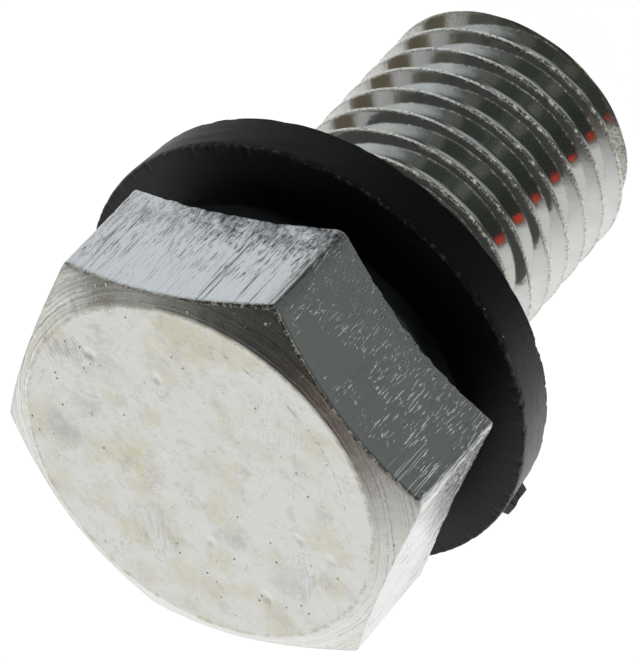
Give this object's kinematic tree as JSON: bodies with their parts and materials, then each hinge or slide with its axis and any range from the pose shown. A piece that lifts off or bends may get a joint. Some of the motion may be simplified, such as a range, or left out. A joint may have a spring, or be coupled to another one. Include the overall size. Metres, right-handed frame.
{
  "type": "oil drain plug",
  "caption": "Hexagon-head oil drain plug with a fine right-hand thread, a round washer face under the head and a thick rubber sealing washer.",
  "frame": {"origin": "centre of the sealing washer's sealing face, on the thread's axis", "axes": "+Z along the thread's axis from the tip towards the head, and one corner of the hexagon on +X"},
  "size_m": [0.0202, 0.0202, 0.0251],
  "materials": {
    "plated_steel": "bright zinc plating, forged and slightly stained",
    "black_rubber": "satin black"
  },
  "bodies": {
    "root": {"plug_body": "plated_steel", "sealing_washer": "black_rubber"}
  },
  "joints": []
}
